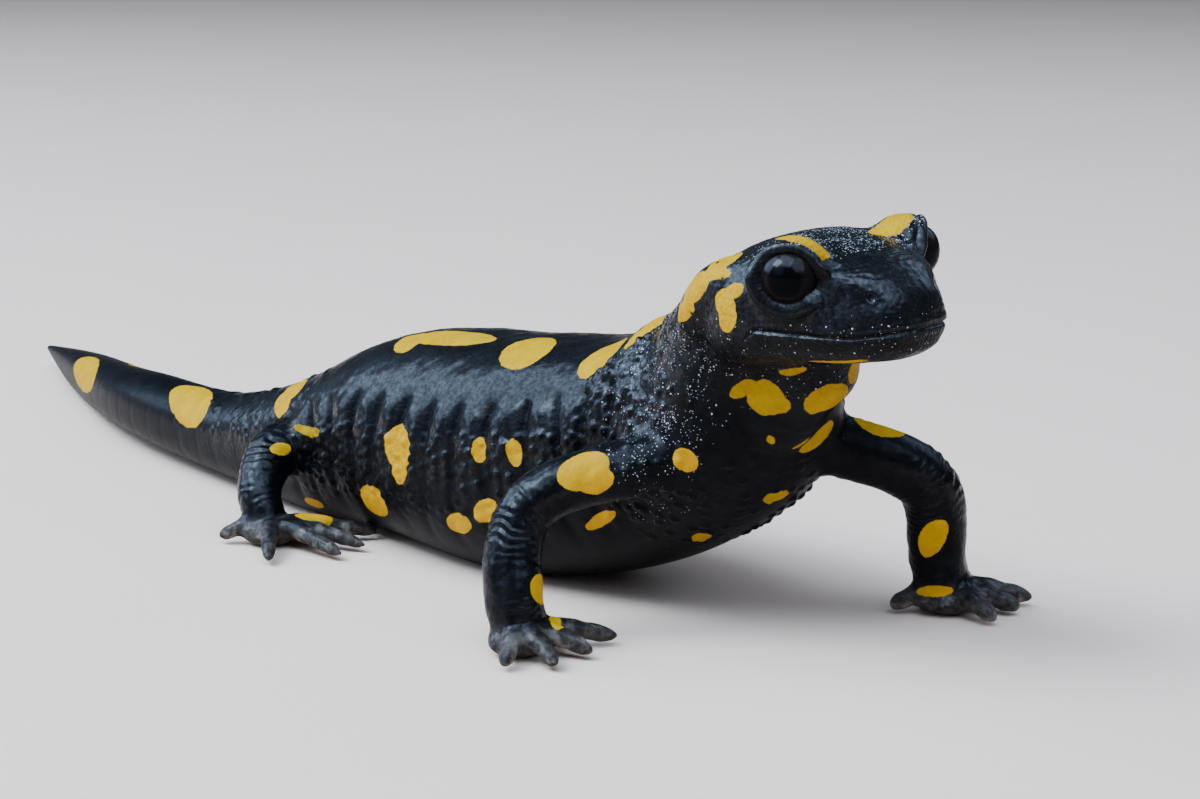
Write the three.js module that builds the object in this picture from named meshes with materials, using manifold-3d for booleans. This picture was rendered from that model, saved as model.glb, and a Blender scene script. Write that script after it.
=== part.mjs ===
// A fire salamander, walking with its head held high: a still, life-size museum model.
// Millimetres. +X runs forward along the trunk, +Y to the animal's left, +Z up.
// The origin is on the floor under the middle of the belly.

import * as THREE from 'three';
import { mergeVertices } from 'three/addons/utils/BufferGeometryUtils.js';
import Module from 'manifold-3d';

const wasm = await Module();
wasm.setup();

// ---------- Driving sizes ----------

const GAP = 0.3; // clear space between two parts that meet
const UP = new THREE.Vector3(0, 0, 1);

// The trunk and tail at their named places, from the base of the skull to the tail's tip.
// at: middle of the section; half: half its width; above, below: its reach over and under the middle.
const TRUNK = {
  skull: { at: [37.0, -2.2, 31.6], half: 6.6, above: 5.2, below: 4.6 },
  nape: { at: [29.6, -1.2, 28.6], half: 7.3, above: 5.4, below: 7.2 },
  shoulder: { at: [24.6, 0.4, 19.3], half: 9.2, above: 11.2, below: 8.4 },
  chest: { at: [16.4, 1.4, 15.7], half: 10.6, above: 10.2, below: 10.6 },
  belly: { at: [0.0, 0.0, 11.4], half: 12.1, above: 11.4, below: 11.8 },
  loin: { at: [-19.9, -1.3, 9.6], half: 11.0, above: 10.6, below: 10.0 },
  hip: { at: [-33.3, -3.2, 6.6], half: 8.0, above: 7.8, below: 7.3 },
  vent: { at: [-45.2, -4.7, 5.3], half: 5.6, above: 5.3, below: 5.0 },
  tail_middle: { at: [-73.1, -3.3, 4.6], half: 4.1, above: 3.7, below: 3.7 },
  tail_end: { at: [-100.0, 3.9, 2.9], half: 2.7, above: 2.8, below: 2.6 },
  tail_tip: { at: [-121.2, 9.5, 2.5], half: 0.4, above: 0.4, below: 0.4 },
};
const TRUNK_SQUARENESS = 2.3; // 2 is an ellipse, more is squarer
const TRUNK_SIDES = 24;
const SECTION_EASE = 6; // how far before and after a section its slant is taken

// The skin folds of the flanks, one to each rib, and the rings of the tail.
const RIB_FOLDS = { first: 25.0, last: 77.0, count: 12, depth: 0.05, swell: 0.02 };
const TAIL_RINGS = { first: 93.0, last: 153.0, count: 15, depth: 0.04, swell: 0.02 };

// The head, from the snout's tip back along the line of the mouth.
const SNOUT_TIP = [49.3, -2.4, 31.25];
const HEAD_TURN = -1.0; // degrees to the animal's left
const HEAD_LIFT = 4.0; // degrees up
const HEAD_ROLL = 3.0; // degrees, left side up
const HEAD = [
  { back: 0.0, half: 0.3, above: 0.3, below: 0.3 },
  { back: 0.5, half: 2.6, above: 2.1, below: 1.9 },
  { back: 1.6, half: 4.1, above: 3.7, below: 2.8 },
  { back: 4.0, half: 6.0, above: 5.4, below: 3.3 },
  { back: 9.5, half: 8.2, above: 7.0, below: 3.6 },
  { back: 14.0, half: 9.1, above: 6.8, below: 4.1 },
  { back: 17.5, half: 8.0, above: 5.6, below: 4.2 },
  { back: 20.5, half: 5.2, above: 3.4, below: 2.6 },
];
const HEAD_SQUARENESS = 2.5;
const HEAD_SIDES = 32;
const HEAD_RINGS = 16;

// Eyes, in the head's own measure: back from the snout, out from the middle, up from the mouth.
const EYE = { back: 8.1, out: 6.8, up: 4.45, radius: 2.6 };
const LID = { radius: 3.4, inward: 0.4, up: -0.2, openWide: 2.6, openHigh: 2.35 };
const EYE_LOOK = { forward: 0.8, down: 0.1 }; // against 1 outward
const NOSTRIL = { back: 2.05, out: 3.7, up: 2.5, radius: 0.5 };

// The line of the mouth, seen from the side: back from the snout, up from the mouth's level.
const MOUTH = [
  [-2, -0.4], [0.5, -0.5], [3, -0.7], [7, -0.25], [10.9, 0], [12.6, -2.4], [11.8, -4.0], [9.6, -4.6],
  [6.8, -4.9],
];
const MOUTH_REACH = 12;

// The gland behind each eye: from the lid back over the jaw to the side of the nape.
const GLAND = [
  { back: 11.5, out: 5.8, up: 4.0, radius: 1.6 },
  { back: 15.5, out: 6.2, up: 3.0, radius: 2.6 },
  { back: 19.5, out: 5.6, up: 0.8, radius: 2.6 },
  { back: 23.0, out: 5.2, up: -2.4, radius: 1.6 },
];

// The loose skin of the throat, from under the jaw down to the neck, on the head's middle.
const THROAT = [
  { back: 9.6, up: -1.6, radius: 3.2 },
  { back: 12.3, up: -3.2, radius: 4.2 },
  { back: 16.8, up: -7.4, radius: 3.9 },
  { back: 20.8, up: -12.0, radius: 3.8 },
];

// Limbs. root is inside the body, bend is the elbow or knee, ankle the wrist or ankle.
// thick gives the limb's radius at those places and at the sole; digits gives the tip of each.
const LIMBS = [
  {
    parts: ['upper_arm_right', 'forearm_right', 'hand_right'],
    root: [26.5, -4.5, 17.0],
    bend: [17.2, -18.6, 10.8],
    ankle: [18.8, -20.4, 4.2],
    sole: [19.6, -20.2, 1.3],
    thick: [2.7, 2.5, 2.6, 2.3],
    palm: { long: 2.9, wide: 3.3, high: 1.5, turn: 5 },
    digits: [[23.2, -12.2], [25.4, -16.8], [26.1, -21.6], [23.3, -25.2]],
    digitRadius: 0.92,
  },
  {
    parts: ['upper_arm_left', 'forearm_left', 'hand_left'],
    root: [29.5, 3.5, 17.9],
    bend: [35.0, 14.6, 11.9],
    ankle: [34.2, 16.8, 4.4],
    sole: [34.6, 17.6, 1.3],
    thick: [2.8, 2.8, 2.6, 2.4],
    palm: { long: 3.1, wide: 3.4, high: 1.5, turn: 12 },
    digits: [[32.2, 12.4], [41.3, 16.9], [40.3, 21.4], [38.8, 24.8]],
    digitRadius: 1.0,
  },
  {
    parts: ['thigh_right', 'shin_right', 'foot_right'],
    root: [-32.0, -4.0, 7.4],
    bend: [-29.8, -14.2, 7.2],
    ankle: [-27.2, -17.0, 4.2],
    sole: [-25.2, -17.2, 1.3],
    thick: [3.4, 2.6, 2.2, 2.0],
    palm: { long: 3.1, wide: 2.9, high: 1.5, turn: -12 },
    digits: [[-19.0, -8.2], [-15.6, -12.0], [-14.4, -15.8], [-17.4, -22.4], [-28.0, -21.6]],
    digitRadius: 0.86,
  },
  {
    parts: ['thigh_left', 'shin_left', 'foot_left'],
    root: [-35.0, -1.5, 7.4],
    bend: [-40.5, 8.6, 7.6],
    ankle: [-47.0, 11.2, 4.2],
    sole: [-48.4, 12.8, 1.3],
    thick: [3.4, 2.6, 2.2, 2.0],
    palm: { long: 3.1, wide: 2.9, high: 1.5, turn: 60 },
    digits: [[-40.8, 14.2], [-42.4, 18.8], [-45.6, 22.0], [-50.0, 21.6], [-54.4, 17.0]],
    digitRadius: 0.86,
  },
];
const LIMB_SIDES = 12;
const LIMB_RINGS = 12;
const DIGIT = {
  sides: 8, rings: 5, root: 1.5, rootUp: 2.4, knuckle: 0.6, arch: 1.65, tipUp: 0.75, dome: 0.2,
};

// Where the body is parted: distance along the trunk from the base of the skull.
const PARTINGS = { head: 7.4, neck: 22.5, torso: 89.0, tail: 122.0 };
const PARTING_REACH = { head: 22, neck: 18, torso: 14, tail: 10 };

const SKIN_MATERIAL = { color: 0x15171b, roughness: 0.42, metalness: 0 };
const EYE_MATERIAL = { color: 0x060507, roughness: 0.06, metalness: 0 };

// ---------- Shapes ----------

// A smooth line through values given at rising knots.
function through(knots, values) {
  const last = knots.length - 1;
  const steps = values.slice(1).map((value, i) => (value - values[i]) / (knots[i + 1] - knots[i]));
  const slopes = values.map((value, i) => {
    if (i === 0) return steps[0];
    if (i === last) return steps[last - 1];
    const before = knots[i] - knots[i - 1];
    const after = knots[i + 1] - knots[i];
    return (steps[i - 1] * after + steps[i] * before) / (before + after);
  });
  return (at) => {
    const place = THREE.MathUtils.clamp(at, knots[0], knots[last]);
    let i = 0;
    while (i < last - 1 && place > knots[i + 1]) i += 1;
    const width = knots[i + 1] - knots[i];
    const t = (place - knots[i]) / width;
    const fromStart = (1 + 2 * t) * (1 - t) ** 2 * values[i] + t * (1 - t) ** 2 * width * slopes[i];
    const fromEnd = t * t * (3 - 2 * t) * values[i + 1] - t * t * (1 - t) * width * slopes[i + 1];
    return fromStart + fromEnd;
  };
}

// A smooth path through points, with the distance from the first one as its measure. Its
// direction at a place is taken between points a little before and after.
function pathThrough(points, nudge = 0.05) {
  const knots = [0];
  for (let i = 1; i < points.length; i += 1) {
    const chord = Math.hypot(...points[i].map((value, axis) => value - points[i - 1][axis]));
    knots.push(knots[i - 1] + chord);
  }
  const [x, y, z] = [0, 1, 2].map((axis) => through(knots, points.map((point) => point[axis])));
  const at = (distance) => new THREE.Vector3(x(distance), y(distance), z(distance));
  const length = knots[knots.length - 1];
  const onward = (distance) => at(distance + nudge).sub(at(distance - nudge)).normalize();
  return { knots, at, onward, length };
}

// One closed section: half widths along side, reach above and below along top.
function section(middle, side, top, size, squareness, sides, swell = () => 1) {
  const power = 2 / squareness;
  const points = [];
  for (let i = 0; i < sides; i += 1) {
    const angle = (2 * Math.PI * i) / sides;
    const cos = Math.cos(angle);
    const sin = Math.sin(angle);
    const factor = swell(angle);
    const out = Math.sign(cos) * Math.abs(cos) ** power * size.half * factor;
    const reach = sin > 0 ? size.above : size.below;
    const rise = Math.sign(sin) * Math.abs(sin) ** power * reach * factor;
    points.push(middle.clone().addScaledVector(side, out).addScaledVector(top, rise));
  }
  return points;
}

// A closed body through sections that follow one another.
function loft(sections) {
  const sides = sections[0].length;
  const positions = sections.flat();
  const faces = [];
  for (let ring = 0; ring < sections.length - 1; ring += 1) {
    for (let i = 0; i < sides; i += 1) {
      const a = ring * sides + i;
      const b = ring * sides + ((i + 1) % sides);
      faces.push([a, b, b + sides], [a, b + sides, a + sides]);
    }
  }
  [0, sections.length - 1].forEach((ring) => {
    const centre = new THREE.Vector3();
    sections[ring].forEach((point) => centre.addScaledVector(point, 1 / sides));
    const hub = positions.push(centre) - 1;
    for (let i = 0; i < sides; i += 1) {
      const a = ring * sides + i;
      const b = ring * sides + ((i + 1) % sides);
      faces.push(ring === 0 ? [hub, b, a] : [hub, a, b]);
    }
  });
  const geometry = new THREE.BufferGeometry();
  const flat = positions.flatMap((point) => point.toArray());
  geometry.setAttribute('position', new THREE.Float32BufferAttribute(flat, 3));
  geometry.setIndex(faces.flat());
  return geometry;
}

// A geometry as a solid that can be cut and joined. Its faces are turned to point out.
function solid(geometry) {
  const bare = geometry.clone();
  bare.deleteAttribute('normal');
  bare.deleteAttribute('uv');
  const merged = mergeVertices(bare, 1e-4);
  const vertProperties = new Float32Array(merged.attributes.position.array);
  const triVerts = new Uint32Array(merged.index.array);
  if (volumeOf(vertProperties, triVerts) < 0) triVerts.reverse();
  return new wasm.Manifold(new wasm.Mesh({ numProp: 3, vertProperties, triVerts }));
}

function volumeOf(positions, triangles) {
  let volume = 0;
  const corner = (index) => new THREE.Vector3().fromArray(positions, 3 * triangles[index]);
  for (let i = 0; i < triangles.length; i += 3) {
    volume += corner(i).dot(corner(i + 1).cross(corner(i + 2))) / 6;
  }
  return volume;
}

function joined(solids) {
  return solids.reduce((whole, piece) => whole.add(piece));
}

// A thin flat sheet that parts a body: its middle, the direction across it and half its width.
function sheet(middle, across, reach) {
  const geometry = new THREE.BoxGeometry(2 * reach, 2 * reach, GAP);
  const turn = new THREE.Quaternion().setFromUnitVectors(UP, across);
  geometry.applyQuaternion(turn);
  geometry.translate(...middle.toArray());
  return solid(geometry);
}

function ball(middle, radius, around = 16, down = 12) {
  const geometry = new THREE.SphereGeometry(radius, around, down);
  geometry.translate(...middle.toArray());
  return solid(geometry);
}

// All that lies under the floor: taking it away leaves the flats that the animal rests on.
function underFloor() {
  const depth = 40;
  const geometry = new THREE.BoxGeometry(400, 200, depth);
  geometry.translate(0, 0, -depth / 2);
  return solid(geometry);
}

// The piece of a parted body whose middle is nearest to a place.
function pieceNear(pieces, place) {
  const distance = (piece) => {
    const { vertProperties, numVert } = piece.getMesh();
    const middle = new THREE.Vector3();
    for (let i = 0; i < numVert; i += 1) {
      middle.addScaledVector(new THREE.Vector3().fromArray(vertProperties, 3 * i), 1 / numVert);
    }
    return middle.distanceTo(place);
  };
  return pieces.reduce((best, piece) => (distance(piece) < distance(best) ? piece : best));
}

// ---------- Trunk and tail ----------

const places = Object.values(TRUNK);
const trunkPath = pathThrough(places.map((place) => place.at), SECTION_EASE);
const trunkHalf = through(trunkPath.knots, places.map((place) => place.half));
const trunkAbove = through(trunkPath.knots, places.map((place) => place.above));
const trunkBelow = through(trunkPath.knots, places.map((place) => place.below));

// The directions of a section that stands across the trunk.
function trunkAxes(distance) {
  const forward = trunkPath.onward(distance).negate();
  const side = new THREE.Vector3().crossVectors(UP, forward).normalize();
  const top = new THREE.Vector3().crossVectors(forward, side);
  return { forward, side, top };
}

// How a row of folds swells and draws in the skin: -1 in a fold, +1 halfway to the next one.
function foldPhase(row, distance) {
  const pitch = (row.last - row.first) / row.count;
  const turns = (distance - row.first) / pitch;
  const inside = distance > row.first - pitch / 3 && distance < row.last + pitch / 3;
  if (!inside) return 0;
  const wave = Math.cos(2 * Math.PI * turns);
  return wave > 0 ? -(wave ** 2) : -wave;
}

function trunkSwell(distance) {
  const rib = foldPhase(RIB_FOLDS, distance);
  const ring = foldPhase(TAIL_RINGS, distance);
  return (angle) => {
    const flank = Math.max(0, Math.abs(Math.cos(angle)) - 0.25) / 0.75;
    const ribPart = rib < 0 ? rib * RIB_FOLDS.depth : rib * RIB_FOLDS.swell;
    const ringPart = ring < 0 ? ring * TAIL_RINGS.depth : ring * TAIL_RINGS.swell;
    return 1 + flank * ribPart + ringPart;
  };
}

// Distances of the sections: four to each rib fold, two to each tail ring, wider apart elsewhere.
function trunkDistances() {
  const ribPitch = (RIB_FOLDS.last - RIB_FOLDS.first) / RIB_FOLDS.count;
  const ringPitch = (TAIL_RINGS.last - TAIL_RINGS.first) / TAIL_RINGS.count;
  const distances = [];
  const neckSteps = 12;
  const hipSteps = 6;
  for (let i = 0; i < neckSteps; i += 1) distances.push((RIB_FOLDS.first * i) / neckSteps);
  for (let rib = 0; rib < RIB_FOLDS.count; rib += 1) {
    [0, 0.2, 0.5, 0.8].forEach((share) => distances.push(RIB_FOLDS.first + ribPitch * (rib + share)));
  }
  for (let i = 0; i < hipSteps; i += 1) {
    distances.push(RIB_FOLDS.last + ((TAIL_RINGS.first - RIB_FOLDS.last) * i) / hipSteps);
  }
  for (let ring = 0; ring < TAIL_RINGS.count; ring += 1) {
    [0, 0.5].forEach((share) => distances.push(TAIL_RINGS.first + ringPitch * (ring + share)));
  }
  distances.push(TAIL_RINGS.last, (TAIL_RINGS.last + trunkPath.length) / 2, trunkPath.length);
  return distances;
}

// The trunk from skull to tail tip, grown all round by an even amount.
function trunk(grown = 0) {
  return solid(loft(trunkDistances().map((distance) => {
    const { side, top } = trunkAxes(distance);
    const size = {
      half: trunkHalf(distance) + grown,
      above: trunkAbove(distance) + grown,
      below: trunkBelow(distance) + grown,
    };
    const middle = trunkPath.at(distance);
    return section(middle, side, top, size, TRUNK_SQUARENESS, TRUNK_SIDES, trunkSwell(distance));
  })));
}

// ---------- Head ----------

const headAxes = (() => {
  const turn = THREE.MathUtils.degToRad(HEAD_TURN);
  const lift = THREE.MathUtils.degToRad(HEAD_LIFT);
  const level = Math.cos(lift);
  const forward = new THREE.Vector3(Math.cos(turn) * level, Math.sin(turn) * level, Math.sin(lift));
  const side = new THREE.Vector3(-Math.sin(turn), Math.cos(turn), 0);
  side.applyAxisAngle(forward, THREE.MathUtils.degToRad(HEAD_ROLL));
  const top = new THREE.Vector3().crossVectors(forward, side);
  return { forward, side, top };
})();

// A place on the head, from its measure back from the snout, out to the left and up.
function onHead(back, out, up) {
  const { forward, side, top } = headAxes;
  return new THREE.Vector3(...SNOUT_TIP)
    .addScaledVector(forward, -back)
    .addScaledVector(side, out)
    .addScaledVector(top, up);
}

function skull() {
  const knots = HEAD.map((ring) => ring.back);
  const half = through(knots, HEAD.map((ring) => ring.half));
  const above = through(knots, HEAD.map((ring) => ring.above));
  const below = through(knots, HEAD.map((ring) => ring.below));
  const sections = [];
  for (let i = 0; i <= HEAD_RINGS; i += 1) {
    const back = knots[knots.length - 1] * (i / HEAD_RINGS) ** 1.5;
    const size = { half: half(back), above: above(back), below: below(back) };
    const { side, top } = headAxes;
    sections.push(section(onHead(back, 0, 0), side, top, size, HEAD_SQUARENESS, HEAD_SIDES));
  }
  return solid(loft(sections));
}

function eyeMiddle(sign) {
  return onHead(EYE.back, sign * EYE.out, EYE.up);
}

// The ring of lid and brow round an eye, before it is opened.
function lidRing(sign) {
  return ball(onHead(EYE.back, sign * (EYE.out - LID.inward), EYE.up + LID.up), LID.radius, 16, 10);
}

// The space that an eyeball sits in, with the opening between the lids.
function eyeSocket(sign) {
  const reach = 6;
  const look = headAxes.side.clone().multiplyScalar(sign)
    .addScaledVector(headAxes.forward, EYE_LOOK.forward)
    .addScaledVector(headAxes.top, -EYE_LOOK.down)
    .normalize();
  const opening = new THREE.CylinderGeometry(1, 1, reach, 16);
  opening.rotateX(Math.PI / 2);
  opening.translate(0, 0, reach / 2);
  opening.scale(LID.openWide, LID.openHigh, 1);
  const wide = new THREE.Vector3().crossVectors(UP, look).normalize();
  const high = new THREE.Vector3().crossVectors(look, wide);
  const middle = eyeMiddle(sign);
  opening.applyMatrix4(new THREE.Matrix4().makeBasis(wide, high, look).setPosition(middle));
  return ball(middle, EYE.radius + GAP, 14, 9).add(solid(opening));
}

function nostril(sign) {
  return ball(onHead(NOSTRIL.back, sign * NOSTRIL.out, NOSTRIL.up), NOSTRIL.radius, 8, 6);
}

// The slit between the lips, which turns down behind the corner of the mouth.
function mouthSlit() {
  const line = MOUTH.map(([back, up]) => new THREE.Vector2(-back, up));
  const offset = (amount) => line.map((point, i) => {
    const before = line[Math.max(i - 1, 0)];
    const after = line[Math.min(i + 1, line.length - 1)];
    const along = after.clone().sub(before).normalize();
    return new THREE.Vector2(point.x - along.y * amount, point.y + along.x * amount);
  });
  const outline = new THREE.Shape([...offset(GAP / 2), ...offset(-GAP / 2).reverse()]);
  const depth = 2 * MOUTH_REACH;
  const geometry = new THREE.ExtrudeGeometry(outline, { depth, bevelEnabled: false });
  geometry.translate(0, 0, -depth / 2);
  const { forward, side, top } = headAxes;
  const basis = new THREE.Matrix4().makeBasis(forward, top, side.clone().negate());
  geometry.applyMatrix4(basis.setPosition(...SNOUT_TIP));
  return solid(geometry);
}

function gland(sign) {
  const points = GLAND.map((place) => onHead(place.back, sign * place.out, place.up).toArray());
  const path = pathThrough(points);
  const radius = through(path.knots, GLAND.map((place) => place.radius));
  return tube(path, radius, headAxes.side, { sides: 10, rings: 8, start: 0.3, end: 0.3 });
}

function throat() {
  const path = pathThrough(THROAT.map((place) => onHead(place.back, 0, place.up).toArray()));
  const radius = through(path.knots, THROAT.map((place) => place.radius));
  return tube(path, radius, headAxes.side, { sides: 16, rings: 8, start: 0.3, end: 0.3 });
}

// ---------- Limbs ----------

// A round tube along a path. start and end are the shares of its length that round off to a dome.
function tube(path, radius, reference, { sides, rings, start, end }) {
  const crowding = 1.3;
  const flattest = 0.95;
  const sections = [];
  for (let i = 0; i <= rings; i += 1) {
    const share = 1 - (1 - i / rings) ** crowding;
    const distance = path.length * share;
    const onward = path.onward(distance);
    const top = new THREE.Vector3().crossVectors(onward, reference).normalize();
    const side = new THREE.Vector3().crossVectors(top, onward);
    const intoEnd = Math.max(0, (share - 1 + end) / end);
    const intoStart = Math.max(0, (start - share) / start);
    const reach = radius(distance) * Math.sqrt(1 - flattest * Math.max(intoEnd, intoStart) ** 2);
    const size = { half: reach, above: reach, below: reach };
    sections.push(section(path.at(distance), side, top, size, 2, sides));
  }
  return solid(loft(sections));
}

function limbBone(limb) {
  const path = pathThrough([limb.root, limb.bend, limb.ankle, limb.sole]);
  const radius = through(path.knots, limb.thick);
  const [root, bend, ankle] = [limb.root, limb.bend, limb.ankle].map((p) => new THREE.Vector3(...p));
  const across = new THREE.Vector3().crossVectors(bend.clone().sub(root), ankle.sub(bend)).normalize();
  const shape = { sides: LIMB_SIDES, rings: LIMB_RINGS, start: 0.05, end: 0.08 };
  return { path, bone: tube(path, radius, across, shape) };
}

function palm(limb) {
  const geometry = new THREE.SphereGeometry(1, 12, 6);
  geometry.rotateX(Math.PI / 2);
  geometry.scale(limb.palm.long, limb.palm.wide, limb.palm.high);
  geometry.rotateZ(THREE.MathUtils.degToRad(limb.palm.turn));
  geometry.translate(...limb.sole);
  return solid(geometry);
}

function digit(limb, tip) {
  const [x, y] = limb.sole;
  const towards = (share, up) => [x + (tip[0] - x) * share, y + (tip[1] - y) * share, up];
  const rootShare = DIGIT.root / Math.hypot(tip[0] - x, tip[1] - y);
  const path = pathThrough([
    towards(rootShare, DIGIT.rootUp), towards(DIGIT.knuckle, DIGIT.arch), towards(1, DIGIT.tipUp),
  ]);
  const thick = limb.digitRadius;
  const radius = through(path.knots, [thick * 1.25, thick, thick * 0.85]);
  const along = new THREE.Vector3(tip[0] - x, tip[1] - y, 0).normalize();
  const side = new THREE.Vector3().crossVectors(UP, along);
  const { sides, rings, dome } = DIGIT;
  return tube(path, radius, side, { sides, rings, start: dome, end: dome });
}

// A whole limb, cut free of the body, made flat underfoot and parted at its two joints.
function limbParts(limb, bodyRoom) {
  const { path, bone } = limbBone(limb);
  const digits = limb.digits.map((tip) => digit(limb, tip));
  const whole = joined([bone, palm(limb), ...digits]).subtract(bodyRoom).subtract(underFloor());
  const [, bendAt, ankleAt, end] = path.knots;
  const reach = 6;
  const parted = whole
    .subtract(sheet(path.at(bendAt), path.onward(bendAt), reach))
    .subtract(sheet(path.at(ankleAt), path.onward(ankleAt), reach));
  const pieces = parted.decompose();
  const seeds = [bendAt * 0.75, (bendAt + ankleAt) / 2, end];
  return limb.parts.map((name, i) => [name, pieceNear(pieces, path.at(seeds[i]))]);
}

// ---------- Assembly ----------

function bodyParts() {
  const flesh = joined([
    trunk(), skull(), throat(), lidRing(1), lidRing(-1), gland(1), gland(-1),
  ]);
  const hollows = joined([
    eyeSocket(1), eyeSocket(-1), nostril(1), nostril(-1), mouthSlit(), underFloor(),
  ]);
  const sheets = Object.entries(PARTINGS).map(([name, distance]) => (
    sheet(trunkPath.at(distance), trunkPath.onward(distance), PARTING_REACH[name])
  ));
  const pieces = flesh.subtract(hollows).subtract(joined(sheets)).decompose();
  const { head, neck, torso, tail } = PARTINGS;
  return [
    ['head', pieceNear(pieces, onHead(9, 0, 3))],
    ['lower_jaw', pieceNear(pieces, onHead(6, 0, -1.5))],
    ['neck', pieceNear(pieces, trunkPath.at((head + neck) / 2))],
    ['torso', pieceNear(pieces, trunkPath.at((neck + torso) / 2))],
    ['tail_base', pieceNear(pieces, trunkPath.at((torso + tail) / 2))],
    ['tail_end', pieceNear(pieces, trunkPath.at((tail + trunkPath.length) / 2))],
  ];
}

// A named mesh of a solid.
function mesh(name, body, look) {
  const { vertProperties, triVerts } = body.getMesh();
  const geometry = new THREE.BufferGeometry();
  geometry.setAttribute('position', new THREE.BufferAttribute(new Float32Array(vertProperties), 3));
  geometry.setIndex(new THREE.BufferAttribute(new Uint32Array(triVerts), 1));
  const made = new THREE.Mesh(geometry, new THREE.MeshStandardMaterial(look));
  made.name = name;
  return made;
}

const salamander = new THREE.Group();
salamander.name = 'fire_salamander';
bodyParts().forEach(([name, body]) => salamander.add(mesh(name, body, SKIN_MATERIAL)));
const bodyRoom = trunk(GAP);
LIMBS.forEach((limb) => {
  limbParts(limb, bodyRoom).forEach(([name, body]) => salamander.add(mesh(name, body, SKIN_MATERIAL)));
});
[['eye_left', 1], ['eye_right', -1]].forEach(([name, sign]) => {
  salamander.add(mesh(name, ball(eyeMiddle(sign), EYE.radius, 16, 11), EYE_MATERIAL));
});

export default salamander;
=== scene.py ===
import math

import bmesh
import bpy
import numpy as np
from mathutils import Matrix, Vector


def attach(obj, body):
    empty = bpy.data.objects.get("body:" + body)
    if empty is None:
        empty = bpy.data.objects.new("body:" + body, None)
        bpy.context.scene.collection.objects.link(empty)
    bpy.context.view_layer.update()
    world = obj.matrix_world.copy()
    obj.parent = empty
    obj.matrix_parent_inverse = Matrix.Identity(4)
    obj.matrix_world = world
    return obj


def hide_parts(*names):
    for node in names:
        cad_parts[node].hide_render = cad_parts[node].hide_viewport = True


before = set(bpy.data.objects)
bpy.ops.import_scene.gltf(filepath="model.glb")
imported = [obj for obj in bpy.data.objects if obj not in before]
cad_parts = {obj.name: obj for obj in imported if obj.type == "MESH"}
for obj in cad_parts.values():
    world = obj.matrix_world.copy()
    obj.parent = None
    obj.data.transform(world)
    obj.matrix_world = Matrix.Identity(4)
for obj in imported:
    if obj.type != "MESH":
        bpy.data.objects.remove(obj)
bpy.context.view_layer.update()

# The skin, eyes and markings of a fire salamander. All sizes are in millimetres until a
# finished mesh is handed to Blender in metres. +X runs forward, +Y to the animal's left, +Z up.

MM = 0.001
UP = np.array([0.0, 0.0, 1.0])

# --- Driving sizes, the same as the solids' ---

# The trunk and tail: middle of the section, half width, reach above and below.
TRUNK = [
    ((37.0, -2.2, 31.6), 6.6, 5.2, 4.6),
    ((29.6, -1.2, 28.6), 7.3, 5.4, 7.2),
    ((24.6, 0.4, 19.3), 9.2, 11.2, 8.4),
    ((16.4, 1.4, 15.7), 10.6, 10.2, 10.6),
    ((0.0, 0.0, 11.4), 12.1, 11.4, 11.8),
    ((-19.9, -1.3, 9.6), 11.0, 10.6, 10.0),
    ((-33.3, -3.2, 6.6), 8.0, 7.8, 7.3),
    ((-45.2, -4.7, 5.3), 5.6, 5.3, 5.0),
    ((-73.1, -3.3, 4.6), 4.1, 3.7, 3.7),
    ((-100.0, 3.9, 2.9), 2.7, 2.8, 2.6),
    ((-121.2, 9.5, 2.5), 0.4, 0.4, 0.4),
]
TRUNK_SQUARENESS = 2.3
SECTION_EASE = 6.0

SNOUT_TIP = np.array([49.3, -2.4, 31.25])
HEAD_TURN, HEAD_LIFT, HEAD_ROLL = -1.0, 4.0, 3.0
# The skull: back from the snout, half width, reach above and below.
HEAD = [
    (0.0, 0.3, 0.3, 0.3),
    (0.5, 2.6, 2.1, 1.9),
    (1.6, 4.1, 3.7, 2.8),
    (4.0, 6.0, 5.4, 3.3),
    (9.5, 8.2, 7.0, 3.6),
    (14.0, 9.1, 6.8, 4.1),
    (17.5, 8.0, 5.6, 4.2),
    (20.5, 5.2, 3.4, 2.6),
]
HEAD_SQUARENESS = 2.5

# Eyes and the rest of the face: back from the snout, out from the middle, up from the mouth.
EYE = (8.1, 6.8, 4.45)
EYE_RADIUS, CORNEA_RISE = 2.6, 0.05
LID_RADIUS, LID_INWARD, LID_UP = 3.4, 0.4, -0.2
EYE_LOOK = (0.8, 0.1)
LID_AIM, LID_OPEN_WIDE, LID_OPEN_UP, LID_OPEN_DOWN = 0.24, 54.0, 41.0, 58.0
LID_CORNER, LID_CORNER_DOWN = 0.34, 0.3
NOSTRIL = (2.05, 3.7, 2.5)
MOUTH = [(-2.0, -0.4), (0.5, -0.5), (3.0, -0.7), (7.0, -0.25), (10.9, 0.0), (12.4, -1.3)]
THROAT = [
    ((9.6, -1.6), 3.2),
    ((12.3, -3.2), 4.2),
    ((16.8, -7.4), 3.9),
    ((20.8, -12.0), 3.8),
]
GLAND = [
    ((11.5, 5.8, 4.0), 1.6),
    ((15.5, 6.2, 3.0), 2.6),
    ((19.5, 5.6, 0.8), 2.6),
    ((23.0, 5.2, -2.4), 1.6),
]

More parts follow.
